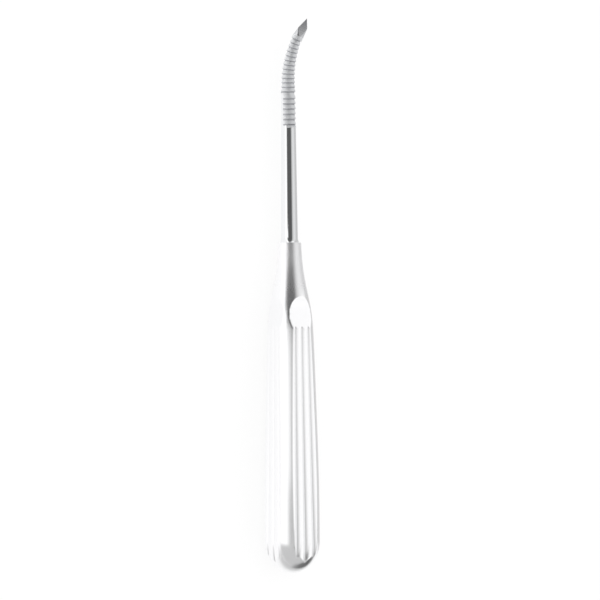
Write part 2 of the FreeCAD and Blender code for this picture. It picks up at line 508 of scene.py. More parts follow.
@dataclass(frozen=True)
class SatinSteel:
    """Stainless steel, satin polished along the handle: soft reflections, drawn out by lines.

    The polishing lines are drawn coarser than real ones, which would not show.
    """

    colour: str = "#FCFCFD"
    roughness: float = 0.175
    neck_roughness: float = 0.33
    # Places along the tool, in metres, between which the handle gets duller.
    neck_from: float = -0.003
    neck_whole: float = 0.012
    roughness_spread: float = 0.05
    line_roughness: float = 0.09
    line_mm: float = 0.22
    line_depth_mm: float = 0.0012
    lengthwise: Stretch = (1.0, 0.035, 1.0)
    cloud_mm: float = 9.0

    def material(self) -> Material:
        """Builds the material.

        Returns:
            The new material.
        """
        material, tree, shader, place = steel_base(Finish.SATIN, self.colour)
        cloudy = {"Vector": place, "Scale": per_metre(self.cloud_mm), "Detail": 4.0}
        clouds = add_node(tree, "ShaderNodeTexNoise", cloudy).outputs[0]
        lines = drawn_out_noise(tree, place, self.lengthwise, self.line_mm, 3.0)
        bump_from(tree, shader, lines, self.line_depth_mm)
        # The neck was left duller than the grip, which hands have polished.
        values = (self.roughness, self.neck_roughness)
        base = change_along(tree, place, (self.neck_from, self.neck_whole), values)
        terms = {0: lines, 1: self.line_roughness, 2: base}
        streaks = add_node(tree, "ShaderNodeMath", terms, operation="MULTIPLY_ADD").outputs[0]
        spread_roughness(tree, shader, clouds, streaks, self.roughness_spread)
        return material


def steel_base(finish: Finish, colour: str) -> tuple[Material, NodeTree, Node, NodeSocket]:
    """Starts a steel material.

    Args:
        finish: Which finish it is, which names it.
        colour: The steel's colour.

    Returns:
        The material, its tree, its shader node and the place on the object.
    """
    material = bpy.data.materials.new(finish.value)
    material.use_nodes = True
    tree = material.node_tree
    shader = tree.nodes["Principled BSDF"]
    shader.inputs["Metallic"].default_value = 1.0
    shader.inputs["Base Color"].default_value = linear_colour(colour)
    return material, tree, shader, add_node(tree, "ShaderNodeTexCoord").outputs["Object"]


def drawn_out_noise(
    tree: NodeTree, place: NodeSocket, stretch: Stretch, size_mm: float, detail: float
) -> NodeSocket:
    """Makes a noise that is drawn out into lines.

    Args:
        tree: The material's tree.
        place: The place on the object.
        stretch: Scale of the noise along each axis. It is drawn out where this is small.
        size_mm: Distance between its features where it isn't drawn out.
        detail: How many finer layers it has.

    Returns:
        The noise.
    """
    drawn_out = add_node(tree, "ShaderNodeMapping", {"Vector": place, "Scale": stretch})
    noise = {"Vector": drawn_out.outputs[0], "Scale": per_metre(size_mm), "Detail": detail}
    return add_node(tree, "ShaderNodeTexNoise", noise).outputs[0]


def change_along(
    tree: NodeTree,
    place: NodeSocket,
    ends: tuple[float, float],
    values: tuple[float, float] = (0.0, 1.0),
) -> NodeSocket:
    """Makes a value that changes evenly along the tool.

    Args:
        tree: The material's tree.
        place: The place on the object.
        ends: Places along the tool, in metres, between which it changes.
        values: The value before them and the one past them.

    Returns:
        The value.
    """
    along = add_node(tree, "ShaderNodeSeparateXYZ", {0: place}).outputs["Y"]
    change = {"Value": along, "From Min": ends[0], "From Max": ends[1]}
    change |= {"To Min": values[0], "To Max": values[1]}
    return add_node(tree, "ShaderNodeMapRange", change).outputs[0]


def mix_colours(tree: NodeTree, shader: Node, share: NodeSocket, first: str, second: str) -> None:
    """Lets a pattern lead the steel's colour from the first to the second.

    Args:
        tree: The material's tree.
        shader: Its shader node.
        share: The pattern.
        first: Colour where the pattern is 0.
        second: Colour where it is 1.
    """
    mix = add_node(tree, "ShaderNodeMix", {0: share}, data_type="RGBA")
    colours = [socket for socket in mix.inputs if socket.type == "RGBA"]
    for socket, colour in zip(colours, (first, second)):
        socket.default_value = linear_colour(colour)
    result = next(socket for socket in mix.outputs if socket.type == "RGBA")
    tree.links.new(result, shader.inputs["Base Color"])


def spread_roughness(
    tree: NodeTree,
    shader: Node,
    pattern: NodeSocket,
    middle: float | NodeSocket,
    spread: float,
) -> None:
    """Lets a pattern move the roughness to both sides of its middle value.

    Args:
        tree: The material's tree.
        shader: Its shader node.
        pattern: The pattern.
        middle: The roughness without it.
        spread: How far apart the smoothest and the roughest places are.
    """
    ends = {"From Min": PATTERN_LOW, "From Max": PATTERN_HIGH}
    ends |= {"To Min": -spread / 2, "To Max": spread / 2}
    varied = add_node(tree, "ShaderNodeMapRange", {"Value": pattern, **ends})
    summed = add_node(tree, "ShaderNodeMath", {0: varied.outputs[0], 1: middle}, operation="ADD")
    tree.links.new(summed.outputs[0], shader.inputs["Roughness"])


def bump_from(tree: NodeTree, shader: Node, pattern: NodeSocket, depth_mm: float) -> None:
    """Turns a pattern into relief of a real depth.

    Args:
        tree: The material's tree.
        shader: Its shader node.
        pattern: The pattern.
        depth_mm: How high it stands where it is 1.
    """
    relief = {"Height": pattern, "Distance": depth_mm * METRES_PER_MM}
    bump = add_node(tree, "ShaderNodeBump", relief)
    tree.links.new(bump.outputs[0], shader.inputs["Normal"])


# The handle


@dataclass
class Handle:
    """Round steel handle with four reeded faces, thumb hollows and a domed butt."""

    length: float = 121.0
    heel_radius: float = 10.05
    heel_station: float = 22.0
    mouth_radius: float = 4.3
    mouth_rounding: float = 0.35
    dome_length: float = 11.9
    crown_radius: float = 9.0
    neck_and_body: Profile = (
        (113.5, 4.70),
        (106.0, 5.80),
        (99.5, 7.13),
        (94.0, 8.00),
        (87.5, 8.44),
        (68.0, 9.10),
        (44.0, 9.76),
    )
    face_count: int = 4
    reed_radius: float = 3.3
    bed_top: float = 95.0
    bed_bend: float = 12.0
    level_at_top: float = 7.44
    level_at_bend: float = 8.81
    half_width_at_top: float = 4.10
    half_width_at_bend: float = 5.53
    bend_radius: float = 37.0
    bed_depth: float = 0.8
    hollow_station: float = 97.0
    hollow_level: float = 6.22
    hollow_radius_to_neck: float = 12.7
    hollow_radius_to_butt: float = 23.0
    hollow_run_to_neck: float = 6.5
    hollow_run_to_butt: float = 12.0
    socket_radius: float = 2.35
    socket_depth: float = 34.5
    edge_softness: float = 0.14
    # The crests' places, in shares of half the width between the outer ones.
    crests: tuple[float, ...] = (-1, -1 / 3, 1 / 3, 1)
    columns_per_mark: int = 7
    highest_marks: float = 93.0
    lowest_marks: float = 6.5
    # Longest steps between the mesh's rings, which are close together round the thumb hollows.
    crown_step: float = 0.26
    dome_step: float = 0.22
    heel_step: float = 0.9
    body_step: float = 1.05
    hollow_step: float = 0.24
    neck_step: float = 0.65
    close_rings_from: float = 84.0
    close_rings_to: float = 104.0
    mouth_rings: int = 4

    def __post_init__(self) -> None:
        """Fits the outline between the mouth and the heel."""
        mouth = (self.length - self.mouth_rounding, self.mouth_radius)
        heel = (self.heel_station, self.heel_radius)
        self.outline = SmoothOutline((mouth, *self.neck_and_body, heel))
        rise = self.dome_length - self.crown_radius
        spare = self.heel_radius - self.crown_radius
        self.flank_radius = (self.heel_radius**2 + rise**2 - self.crown_radius**2) / (2 * spare)
        self.flank_centre = self.heel_radius - self.flank_radius
        self.joint_angle = math.atan2(-self.flank_centre, rise)

    def blank_radius(self, station: float) -> float:
        """Radius of the plain round handle, before its faces are cut.

        Args:
            station: Millimetres from the butt along the axis.

        Returns:
            The radius.
        """
        if station >= self.heel_station:
            return self.outline.radius(station)
        if station >= self.dome_length:
            return self.heel_radius
        joint = self.crown_radius * (1 - math.cos(self.joint_angle))
        if station >= joint:
            below = self.dome_length - station
            return self.flank_centre + math.sqrt(self.flank_radius**2 - below**2)
        return math.sqrt(max(0.0, station * (2 * self.crown_radius - station)))

    def bed(self, station: float) -> tuple[float, float]:
        """Finds where the reeds lie on a face.

        Args:
            station: Millimetres from the butt along the axis.

        Returns:
            Level of their crests over the axis, and half the width between the outer crests.
        """
        share = (self.bed_top - station) / (self.bed_top - self.bed_bend)
        level = between(self.level_at_top, self.level_at_bend, share)
        half_width = between(self.half_width_at_top, self.half_width_at_bend, share)
        past_bend = max(0.0, self.bed_bend - station)
        level -= self.bend_radius - math.sqrt(self.bend_radius**2 - past_bend**2)
        return level, half_width

    def reeds(self, station: float, angle: float) -> float:
        """Distance from the axis to the reeded face.

        Args:
            station: Millimetres from the butt along the axis.
            angle: Angle to the face's middle.

        Returns:
            The distance.
        """
        level, half_width = self.bed(station)
        crests = [half_width * place for place in self.crests]
        distance = level / math.cos(angle)
        for _ in range(REED_ROUNDS):
            sideways = distance * math.sin(angle)
            away = min(abs(sideways - crest) for crest in crests)
            round_off = self.reed_radius - math.sqrt(max(0.0, self.reed_radius**2 - away**2))
            distance = (level - min(round_off, self.bed_depth)) / math.cos(angle)
        return distance

    def hollow(self, station: float) -> float:
        """Level of the thumb hollow's floor over the axis.

        Args:
            station: Millimetres from the butt along the axis.

        Returns:
            The level, which is infinite where there is no hollow.
        """
        run = station - self.hollow_station
        if run > self.hollow_run_to_neck or run < -self.hollow_run_to_butt:
            return math.inf
        radius = self.hollow_radius_to_neck if run > 0 else self.hollow_radius_to_butt
        return self.hollow_level + radius - math.sqrt(radius**2 - run**2)

    def surface(self, station: float, angle: float) -> float:
        """Distance from the axis to the finished surface.

        Args:
            station: Millimetres from the butt along the axis.
            angle: Angle to the face's middle.

        Returns:
            The distance.
        """
        radius = self.blank_radius(station)
        if station < self.bed_top:
            radius = soft_min(radius, self.reeds(station, angle), self.edge_softness)
        floor = self.hollow(station)
        if floor < math.inf:
            radius = soft_min(radius, floor / math.cos(angle), self.edge_softness)
        return radius

    def marks(self, station: float) -> list[float]:
        """Finds the lines of half a face that columns of the mesh follow.

        Args:
            station: Millimetres from the butt along the axis.

        Returns:
            Angles of the face's middle, a crest, a valley, the face's edge and the corner.
        """
        station = min(max(station, self.lowest_marks), self.highest_marks)
        level, half_width = self.bed(station)
        third = half_width / 3
        valley_level = level - self.reed_radius + math.sqrt(self.reed_radius**2 - third**2)
        valley = math.atan2(2 * third, valley_level)
        corner = math.pi / self.face_count
        inside, outside = valley, corner
        blank = self.blank_radius(station)
        for _ in range(EDGE_HALVINGS):
            middle = (inside + outside) / 2
            if self.reeds(station, middle) < blank:
                inside = middle
            else:
                outside = middle
        return [0.0, math.atan2(third, level), valley, (inside + outside) / 2, corner]

    def columns(self, station: float) -> list[float]:
        """Angles of all the mesh's columns across one face.

        Args:
            station: Millimetres from the butt along the axis.

        Returns:
            The angles, in rising order.
        """
        marks = self.marks(station)
        count = self.columns_per_mark
        half = [0.0]
        for first, last in zip(marks, marks[1:]):
            half += [between(first, last, i / count) for i in range(1, count + 1)]
        return [-angle for angle in reversed(half[1:])] + half

    def outer_stations(self) -> list[float]:
        """Places the outside's rings.

        Returns:
            Stations from the butt to the mouth's rounding.
        """
        joint = self.crown_radius * (1 - math.cos(self.joint_angle))
        angles = steps(0.0, self.joint_angle, self.crown_step / self.crown_radius)
        stations = [self.crown_radius * (1 - math.cos(angle)) for angle in angles]
        stations += steps(joint, self.dome_length, self.dome_step)
        stations += steps(self.dome_length, self.heel_station, self.heel_step)
        stations += steps(self.heel_station, self.close_rings_from, self.body_step)
        stations += steps(self.close_rings_from, self.close_rings_to, self.hollow_step)
        mouth = self.length - self.mouth_rounding
        return stations + steps(self.close_rings_to, mouth, self.neck_step)

    def face_rings(self) -> list[Ring]:
        """Makes one quarter of the handle.

        Returns:
            Rings from the butt over the mouth into the socket.
        """
        rings = [[Vector((0, 0, 0))]]
        for station in self.outer_stations():
            ring = []
            for angle in self.columns(station):
                ring.append(polar_point(self.surface(station, angle), angle, station))
            rings.append(ring)
        inner = self.mouth_radius - self.mouth_rounding
        base = self.length - self.mouth_rounding
        for turn in steps(0.0, math.pi / 2, math.pi / 2 / self.mouth_rings):
            radius = inner + self.mouth_rounding * math.cos(turn)
            rings.append(self.round_ring(radius, base + self.mouth_rounding * math.sin(turn)))
        bottom = self.length - self.socket_depth
        rings.append(self.round_ring(self.socket_radius, self.length))
        rings.append(self.round_ring(self.socket_radius, bottom))
        rings.append([Vector((0, bottom, 0))])
        return rings

    def round_ring(self, radius: float, station: float) -> Ring:
        """A quarter of a plain round ring."""
        return [polar_point(radius, angle, station) for angle in self.columns(self.length)]

    def build(self, lie: Lie, repeater: Repeater, steel: Material) -> Object:
        """Makes the handle from one face, repeated round the axis.

        Args:
            lie: How the tool lies.
            repeater: Repeats the face round the axis.
            steel: The handle's finish.

        Returns:
            The handle, which stands for the CAD handle.
        """
        face = to_mesh("handle_face", self.face_rings(), around=False)
        whole = repeater.repeat(face, self.face_count, math.tau / self.face_count, steel)
        work = bmesh.new()
        work.from_mesh(whole)
        mesh = finish_mesh(work, "reeded_handle", lie.metres)
        mesh.materials.append(steel)
        handle = add_object("reeded_handle", mesh)
        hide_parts("handle")
        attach(handle, "root")
        return handle


def polar_point(radius: float, angle: float, station: float) -> Vector:
    """Point at a distance from the axis. The angle is 0 at the top and turns towards +X."""
    return Vector((radius * math.sin(angle), station, radius * math.cos(angle)))


# The rasp and its shaft


@dataclass(frozen=True)
class Bend:
    """The bend of the rasp, made after it was filed straight."""

    end: float
    start: float = 179.9
    radius: float = 38.5
    side_angle: float = math.radians(45.0)

    @property
    def side(self) -> Vector:
        """Direction square to the axis towards which the rasp bends."""
        return Vector((math.sin(self.side_angle), 0, math.cos(self.side_angle)))

    @property
    def hinge(self) -> Vector:
        """Direction of the axis of the bend."""
        return ALONG.cross(self.side)

    @property
    def whole_turn(self) -> float:
        """Angle through which the point was bent."""
        return (self.end - self.start) / self.radius

    def bent(self, point: Vector) -> Vector:
        """Bends the rasp.

        Args:
            point: A point of the straight rasp.

        Returns:
            Its place on the bent one.
        """
        if point.y <= self.start:
            return point.copy()
        turn = min((point.y - self.start) / self.radius, self.whole_turn)
        beyond = max(0.0, point.y - self.end)
        centre = ALONG * self.start + self.side * self.radius
        arm = Vector((point.x, 0, point.z)) - self.side * self.radius
        return centre + Matrix.Rotation(turn, 3, self.hinge) @ (arm + ALONG * beyond)


@dataclass(frozen=True)
class ThreeSidedPoint:
    """Three facets ground to a point on the round end of the rasp."""

    radius: float
    length: float = 7.5
    lean: float = 0.3
    grinding_hollow: float = 0.06
    facets: int = 3
    first_turn: float = math.radians(-14.5)
    # Shares of the length up to which the rings are close together, and up to which there are any.
    close_rings_to: float = 0.52
    last_ring: float = 0.985
    close_step: float = 0.018
    wide_step: float = 0.05

    def outward(self, bend: Bend) -> list[Vector]:
        """Finds where the facets face.

        Args:
            bend: The bend of the rasp.

        Returns:
            A direction square to the straight axis for each facet.
        """
        along = Matrix.Rotation(bend.whole_turn, 3, bend.hinge) @ ALONG
        up = (UP - along * UP.dot(along)).normalized()
        straight = Matrix.Rotation(-bend.whole_turn, 3, bend.hinge)
        turns = [self.first_turn + i * math.tau / self.facets for i in range(self.facets)]
        return [straight @ Matrix.Rotation(turn, 3, along) @ up for turn in turns]

    def reach(self, bend: Bend) -> list[tuple[Vector, float]]:
        """For each facet, its direction and its distance from the leaning axis at the foot."""
        to_apex = bend.side * self.lean
        return [(way, self.radius + to_apex.dot(way)) for way in self.outward(bend)]

    def corners(self, bend: Bend) -> list[float]:
        """Finds the ridges between the facets.

        Args:
            bend: The bend of the rasp.

        Returns:
            Their angles, in rising order.
        """
        found = []
        facets = self.reach(bend)
        for i, (first, first_reach) in enumerate(facets):
            second, second_reach = facets[(i + 1) % self.facets]
            system = np.array([[first.x, first.z], [second.x, second.z]])
            x, z = np.linalg.solve(system, [first_reach, second_reach])
            found.append(math.atan2(x, z) % math.tau)
        return sorted(found)

    def ring(self, bend: Bend, share: float, angles: list[float], foot: float) -> Ring:
        """A ring of the point, at a share of the way from its foot to its apex.

        The share is negative below the foot, where the facets run out. The wheel's rim leaves
        them slightly hollow, most of all half-way.

        Args:
            bend: The bend of the rasp.
            share: The share of the way.
            angles: Angles of the columns.
            foot: Station at which the facets have their whole width.

        Returns:
            The ring on the straight rasp.
        """
        middle = bend.side * self.lean * share
        hollow = self.grinding_hollow * 4 * max(0.0, share) * (1 - share)
        ring = []
        for angle in angles:
            way = polar_point(1.0, angle, 0.0)
            inward = middle.dot(way)
            radius = math.sqrt(self.radius**2 - middle.length_squared + inward**2) - inward
            for facing, reach in self.reach(bend):
                closing = way.dot(facing)
                if closing > 0.0:
                    radius = min(radius, (reach * (1 - share) - hollow) / closing)
            ring.append(middle + way * radius + ALONG * (foot + self.length * share))
        return ring

    def rings(self, bend: Bend, angles: list[float], foot: float, start: float) -> list[Ring]:
        """Makes all its rings.

        Args:
            bend: The bend of the rasp.
            angles: Angles of the columns.
            foot: Station at which the facets have their whole width.
            start: Station of the first ring.

        Returns:
            The rings on the straight rasp. The last is the apex, which leans with the bend.
        """
        first = (start - foot) / self.length
        shares = [first, *steps(first, self.close_rings_to, self.close_step)]
        shares += steps(self.close_rings_to, self.last_ring, self.wide_step)
        rings = [self.ring(bend, share, angles, foot) for share in shares]
        return rings + [[bend.side * self.lean + ALONG * (foot + self.length)]]


@dataclass(frozen=True)
class ToothRow:
    """A row of like teeth on the straight rasp. The groove at each tooth's foot is painted darker
    as shade.
    """

    start: float
    count: int
    pitch: float
    # Millimetres before each tooth in which the steel is painted darker as shade.
    painted_shade_before: float
    # Radius of the first tooth's flank, at an angle and at a share of the pitch.
    flank: Callable[[float, float], float]
    # Radius over the crests, at a station.
    over: Callable[[float], float]
    steep_face_from: float = -0.15
    crest_from: float = 0.14
    crest_at: float = 0.2
    crest_rounding: float = 0.06
    flank_shares: tuple[float, ...] = (0.0, 0.15, 0.4, 0.65, 0.75, 0.85, 1.0)
    # Millimetres after each tooth's root in which the steel is painted darker as shade.
    painted_shade_after: float = 0.12

    @property
    def end(self) -> float:
        """Station of the root after the last tooth."""
        return self.start + self.count * self.pitch

    def growth(self, station: float) -> float:
        """What the radius gains up to a station."""
        return self.over(station) - self.over(self.start)

    def root(self, angle: float, station: float) -> float:
        """Radius at the bottom of a groove."""
        return self.flank(angle, 1.0) + self.growth(station)

    def in_painted_gullet_shade(self, station: float) -> bool:
        """Whether a station lies where the bottom of a groove is painted darker as shade."""
        past = station - self.start + self.painted_shade_before
        return past >= 0.0 and past % self.pitch < self.painted_shade_before + self.painted_shade_after

    def tooth(self, angles: list[float]) -> list[Ring]:
        """One tooth: up the steep face, over the crest and down the long flank.

        Args:
            angles: Angles of the columns.

        Returns:
            Rings from the root before the tooth to the root after it.
        """
        run = self.pitch + self.steep_face_from - self.crest_at
        places = [(self.steep_face_from, 1.0, 0.0), (self.crest_from, 0.0, self.crest_rounding)]
        places += [(self.crest_at + run * share, share, 0.0) for share in self.flank_shares]
        rings = []
        for station, share, drop in places:
            ring = []
            for angle in angles:
                radius = max(self.flank(angle, 1.0), self.flank(angle, share) - drop)
                ring.append(polar_point(radius, angle, station))
            rings.append(ring)
        return rings

    def mesh(
        self,
        angles: list[float],
        before: Callable[[float, float], float],
        repeater: Repeater,
        steel: Material,
    ) -> Mesh:
        """The row, at its place on the straight rasp.

        Args:
            angles: Angles of the columns.
            before: Least radius of the ring from which the first tooth rises, by angle and
                station.
            repeater: Repeats the tooth along the axis.
            steel: The finish.

        Returns:
            The row as a mesh.
        """
        mesh = repeater.repeat(to_mesh("tooth", self.tooth(angles)), self.count, self.pitch, steel)
        first_station = self.start + self.steep_face_from
        on_first_ring = (self.crest_from + self.steep_face_from) / 2
        for vertex in mesh.vertices:
            angle = math.atan2(vertex.co.x, vertex.co.z)
            station = vertex.co.y + self.start
            radius = math.hypot(vertex.co.x, vertex.co.z) + self.growth(station)
            if vertex.co.y < on_first_ring:
                radius = max(radius, before(angle, first_station))
            vertex.co = polar_point(radius, angle, station)
        return mesh


@dataclass
class RaspShaft:
    """Tang, collar, polished shaft and the bent rasp with its point, all of one steel piece."""

    root_station: float = 121.0
    shaft_root_radius: float = 3.125
    shaft_end_radius: float = 2.75
    shaft_length: float = 43.3
    collar_radius: float = 3.8
    collar_fillet: float = 2.4
    tang_radius: float = 2.3
    tang_length: float = 34.0
    tang_chamfer: float = 0.6
    coarse_teeth: int = 6
    coarse_pitch: float = 1.9
    coarse_depth: float = 0.5
    coarse_end_radius: float = 2.7
    smooth_back: float = math.radians(56.0)
    zone_gap: float = 0.6
    fine_teeth: int = 12
    fine_pitch: float = 1.63
    fine_depth: float = 0.45
    fine_middle_radius: float = 2.375
    fine_end_radius: float = 2.0
    # Millimetres before each tooth in which the groove's steel is painted darker as shade.
    painted_shade_before_coarse_tooth: float = 0.5
    painted_shade_before_fine_tooth: float = 0.34
    polish_left_depth: float = 0.006
    blasted_before_teeth: float = 1.1
    blasted_past_foot: float = 0.4
    end_shank_length: float = 1.2
    shaft_step: float = 0.8
    collar_rings: int = 12
    columns_per_facet: int = 44

    def __post_init__(self) -> None:
        """Works out the rows of teeth, the bend, the point and the mesh's columns."""
        self.coarse = ToothRow(
            self.root_station + self.shaft_length,
            self.coarse_teeth,
            self.coarse_pitch,
            self.painted_shade_before_coarse_tooth,
            self.coarse_flank,
            self.coarse_radius,
        )
        self.fine = ToothRow(
            self.coarse.end + self.zone_gap,
            self.fine_teeth,
            self.fine_pitch,
            self.painted_shade_before_fine_tooth,
            self.fine_flank,
            self.fine_radius,
        )
        self.foot = self.fine.end + self.end_shank_length
        self.bend = Bend(end=self.foot)
        self.point = ThreeSidedPoint(radius=self.fine_end_radius)
        corners = self.point.corners(self.bend)
        self.angles: list[float] = []
        for first, last in zip(corners, corners[1:] + [corners[0] + math.tau]):
            for i in range(self.columns_per_facet):
                self.angles.append(between(first, last, i / self.columns_per_facet))

    def ring(self, radius: float, station: float) -> Ring:
        """A plain round ring."""
        return [polar_point(radius, angle, station) for angle in self.angles]

    def tang_and_shaft(self) -> list[Ring]:
        """Makes the tang, the collar and the shaft.

        Returns:
            Rings from the end of the tang to the start of the rasp.
        """
        tang_end = self.root_station - self.tang_length
        rings = [[Vector((0, tang_end, 0))]]
        rings.append(self.ring(self.tang_radius - self.tang_chamfer, tang_end))
        rings.append(self.ring(self.tang_radius, tang_end + self.tang_chamfer))
        rings.append(self.ring(self.tang_radius, self.root_station))
        width = self.collar_radius - self.shaft_root_radius
        sweep = math.acos(1 - width / self.collar_fillet)
        top = self.root_station + self.collar_fillet * math.sin(sweep)
        for turn in [sweep] + steps(sweep, 0.0, sweep / self.collar_rings):
            radius = self.shaft_root_radius + self.collar_fillet * (1 - math.cos(turn))
            rings.append(self.ring(radius, top - self.collar_fillet * math.sin(turn)))
        start = self.coarse.start
        for station in steps(top, start - self.coarse.painted_shade_before, self.shaft_step):
            share = (station - top) / (start - top)
            radius = between(self.shaft_root_radius, self.shaft_end_radius, share)
            rings.append(self.ring(radius, station))
        return rings + [self.groove_bottom(self.coarse.root, start)]

    def first_fine_root(self, angle: float, station: float) -> float:
        """Radius just before the fine teeth, where the smooth back runs on without a groove."""
        return max(self.coarse.root(angle, station), self.fine.root(angle, station))

    def groove_bottom(self, root: Callable[[float, float], float], start: float) -> Ring:
        """The ring at the bottom of the groove before a tooth, or after the last one."""
        station = start + self.coarse.steep_face_from
        return [polar_point(root(angle, station), angle, station) for angle in self.angles]

    def fine_flank(self, _angle: float, share: float) -> float:
        """Radius of a fine tooth's flank, the same all round."""
        return self.coarse_end_radius - self.fine_depth * share

    def coarse_flank(self, angle: float, share: float) -> float:
        """Radius of a coarse tooth's flank, which leaves the back of the rasp smooth.

        Args:
            angle: Angle round the axis.
            share: Share of the pitch.

        Returns:
            The radius.
        """
        lean = 1 / (1 + math.cos(self.smooth_back))
        shift = self.coarse_depth * lean * share
        radius = self.shaft_end_radius - (self.coarse_depth - self.coarse_depth * lean) * share
        facing = polar_point(1.0, angle, 0.0).dot(self.bend.side)
        across = math.sqrt(max(0.0, radius**2 - shift**2 * (1 - facing**2)))
        return min(self.shaft_end_radius, across - shift * facing)

    def coarse_radius(self, station: float) -> float:
        """Radius over the coarse teeth, which get slightly smaller towards the point."""
        share = (station - self.coarse.start) / (self.fine.start - self.coarse.start)
        return between(self.shaft_end_radius, self.coarse_end_radius, share)

    def fine_radius(self, station: float) -> float:
        """Radius over the fine teeth, which get smaller faster in the second half.

        Args:
            station: Millimetres from the butt along the axis.

        Returns:
            The radius.
        """
        start, middle = self.fine.start, self.fine.start + self.fine_teeth / 2 * self.fine_pitch
        if station <= middle:
            share = (station - start) / (middle - start)
            return between(self.coarse_end_radius, self.fine_middle_radius, share)
        share = (station - middle) / (self.fine.end - self.fine_pitch - middle)
        return between(self.fine_middle_radius, self.fine_end_radius, share)

    def gap(self) -> list[Ring]:
        """Makes the bare stretch between the coarse teeth and the fine ones.

        Returns:
            Its rings.
        """
        stations = (self.coarse.end, self.fine.start - self.fine.painted_shade_before)
        rings = [self.groove_bottom(self.coarse.root, station) for station in stations]
        return rings + [self.groove_bottom(self.first_fine_root, self.fine.start)]

    def pointed_end(self) -> list[Ring]:
        """Makes the smooth end after the last tooth, and the three-sided point.

        Returns:
            Rings from the last groove to the apex.
        """
        start = self.fine.end + self.fine.crest_from
        rings = self.point.rings(self.bend, self.angles, self.foot, start)
        return [self.groove_bottom(self.fine.root, self.fine.end)] + rings

    def finish_at(self, middle: Vector) -> Finish:
        """Finds the finish of a face.

        Args:
            middle: Middle of the face on the straight rasp.

        Returns:
            Its finish.
        """
        out = Vector((middle.x, 0, middle.z))
        if middle.y < self.coarse.start - self.blasted_before_teeth:
            return Finish.POLISHED
        if middle.y > self.fine.end + self.fine.crest_at:
            ground = middle.y > self.foot + self.blasted_past_foot
            ground = ground or out.length < self.fine_end_radius - self.polish_left_depth
            return Finish.GROUND if ground else Finish.BLASTED
        full = self.coarse.over(middle.y) - self.polish_left_depth
        if middle.y < self.fine.start - self.fine.painted_shade_before and out.length > full:
            if out.dot(self.bend.side) < 0.0:
                return Finish.POLISHED
        # The bottoms of the grooves get the painted shade.
        row = self.coarse if middle.y < self.coarse.end - self.coarse.painted_shade_before else self.fine
        return Finish.GULLET if row.in_painted_gullet_shade(middle.y) else Finish.BLASTED

    def build(
        self, lie: Lie, repeater: Repeater, steels: dict[Finish, Material]
    ) -> Object:
        """Makes the shaft and the rasp as one mesh.

        Args:
            lie: How the tool lies.
            repeater: Repeats the teeth along the axis.
            steels: The finishes.

        Returns:
            The piece that stands for the CAD shaft.
        """
        blasted = steels[Finish.BLASTED]
        zones = [
            to_mesh("shaft", self.tang_and_shaft()),
            self.coarse.mesh(self.angles, self.coarse.root, repeater, blasted),
            to_mesh("gap", self.gap()),
            self.fine.mesh(self.angles, self.first_fine_root, repeater, blasted),
            to_mesh("pointed_end", self.pointed_end()),
        ]
        order = [Finish.POLISHED, Finish.BLASTED, Finish.GULLET, Finish.GROUND]
        work = bmesh.new()
        for zone in zones:
            work.from_mesh(zone)
        for face in work.faces:
            face.material_index = order.index(self.finish_at(face.calc_center_median()))
        mesh = finish_mesh(
            work, "rasp_and_shaft", lambda point: lie.metres(self.bend.bent(point))
        )
        for finish in order:
            mesh.materials.append(steels[finish])
        rasp = add_object("rasp_and_shaft", mesh)
        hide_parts("rasp_shaft")
        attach(rasp, "root")
        return rasp


# The studio


def stage_sheet(name: str, corners: list[Any], material: Material) -> Object:
    """Makes a flat stage object.

    Args:
        name: Its name.
        corners: Its four corners in order, in metres.
        material: Its material.

    Returns:
        The object, which is no part of the tool.
    """
    mesh = bpy.data.meshes.new(name)
    mesh.from_pydata(corners, [], [(0, 1, 2, 3)])
    mesh.materials.append(material)
    made = add_object(name, mesh)
    return made


def bare_material(name: str) -> tuple[Material, NodeTree, NodeSocket]:
    """Starts a material that has no shader yet.

    Args:
        name: Its name.

    Returns:
        The material, its tree and the socket that takes its surface.
    """
    material = bpy.data.materials.new(name)
    material.use_nodes = True
    tree = material.node_tree
    tree.nodes.remove(tree.nodes["Principled BSDF"])
    return material, tree, tree.nodes["Material Output"].inputs["Surface"]


def toward(tree: NodeTree, direction: NodeSocket, way: Vector) -> NodeSocket:
    """How far a place or a direction goes a given way."""
    pair = {0: direction, 1: way}
    return add_node(tree, "ShaderNodeVectorMath", pair, operation="DOT_PRODUCT").outputs["Value"]


def ramp(tree: NodeTree, by: NodeSocket, tones: Profile) -> NodeSocket:
    """A level that follows a list of places and tones.

    Args:
        tree: The tree that receives the nodes.
        by: The value that the places are measured in.
        tones: Places in rising order, each with its tone.

    Returns:
        The level.
    """
    low, high = tones[0][0], tones[-1][0]
    span = {"Value": by, "From Min": low, "From Max": high}
    place = add_node(tree, "ShaderNodeMapRange", span).outputs[0]
    colours = add_node(tree, "ShaderNodeValToRGB", {0: place})
    marks = colours.color_ramp.elements
    while len(marks) < len(tones):
        marks.new(0.5)
    highest = max(tone for _, tone in tones)
    for mark, (at, tone) in zip(marks, tones):
        mark.position = (at - low) / (high - low)
        mark.color = (tone / highest, tone / highest, tone / highest, 1.0)
    factors = {0: colours.outputs[0], 1: highest}
    return add_node(tree, "ShaderNodeMath", factors, operation="MULTIPLY").outputs[0]


